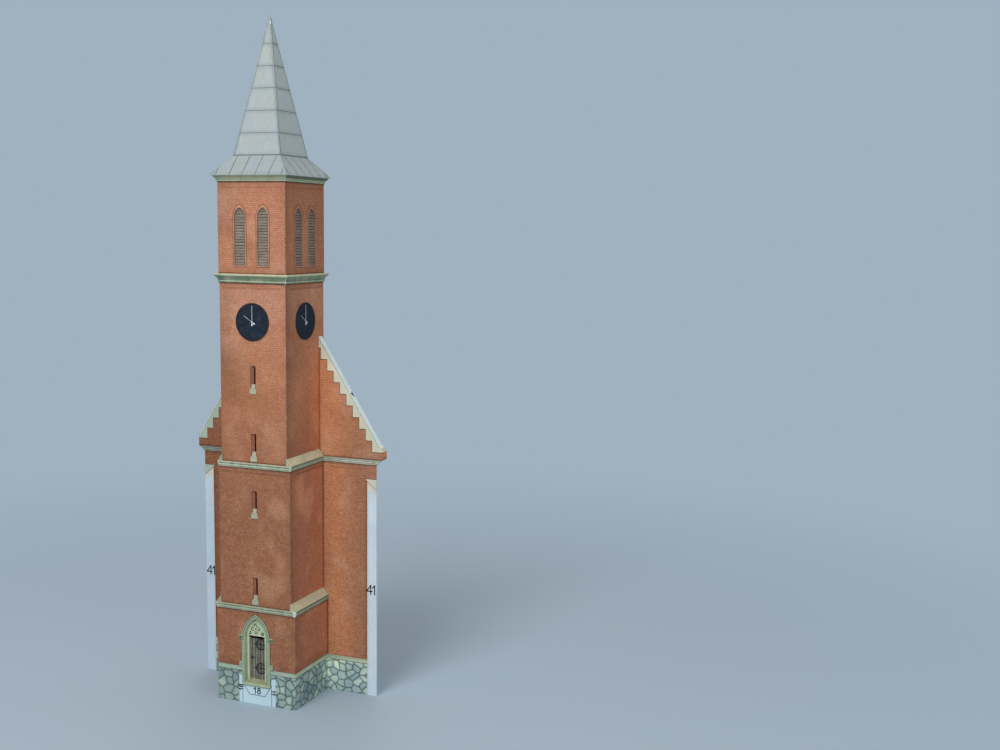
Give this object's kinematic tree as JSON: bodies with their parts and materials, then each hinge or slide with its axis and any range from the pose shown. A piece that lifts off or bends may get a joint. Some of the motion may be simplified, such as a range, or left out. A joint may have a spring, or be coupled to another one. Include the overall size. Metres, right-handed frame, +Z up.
{
  "type": "printed card model of a church tower",
  "caption": "Card model of a brick church tower with a door, clock storey, louvred belfry and spire, and the two stepped gable halves that stand behind it.",
  "frame": {"origin": "on the surface that the model stands on, under the middle of its box, which is the middle of the tower", "axes": "+Z up along the spire, -Y out of the door's face, +X to the right of someone who faces the door"},
  "size_m": [0.066, 0.0264, 0.2081],
  "materials": {
    "brick": "matt printed card with fine brick courses",
    "cream_trim": "matt printed card, cream stone",
    "moss_trim": "matt printed card, green-grey mouldings",
    "zinc_sheet": "matt printed card, pale sheet-metal roofing with seams",
    "white_card": "bare white card of the gluing strips",
    "grey_timber": "matt printed card, weathered boards",
    "navy_dial": "matt printed card, dark blue",
    "dark_reveal": "matt printed card, shaded brick"
  },
  "bodies": {
    "root": {"base_card": "white_card", "front_wall": "brick", "rear_wall": "brick", "ground_left_wall": "brick", "ground_right_wall": "brick", "middle_left_wall": "brick", "middle_right_wall": "brick", "clock_left_wall": "brick", "clock_right_wall": "brick", "belfry_front_wall": "brick", "belfry_rear_wall": "brick", "belfry_left_wall": "brick", "belfry_right_wall": "brick", "lower_string_course": "moss_trim", "upper_string_course": "moss_trim", "lower_weatherings": "cream_trim", "upper_weatherings": "cream_trim", "belfry_cornice": "moss_trim", "eaves_cornice": "moss_trim", "roof_skirt": "zinc_sheet", "spire": "zinc_sheet", "slit_boxes": "dark_reveal", "slit_sills": "cream_trim", "louvre_panels": "grey_timber", "clock_dials": "navy_dial", "clock_hands": "white_card", "portal": "moss_trim", "tympanum": "moss_trim", "door": "grey_timber", "door_sill": "cream_trim", "left_wing": "brick", "right_wing": "brick", "left_wing_string": "moss_trim", "right_wing_string": "moss_trim", "left_gable": "brick", "right_gable": "brick", "left_stepped_coping": "cream_trim", "right_stepped_coping": "cream_trim", "left_slope_strip": "white_card", "right_slope_strip": "white_card", "kneeler_cheeks": "brick", "kneeler_gablets": "cream_trim"}
  },
  "joints": []
}
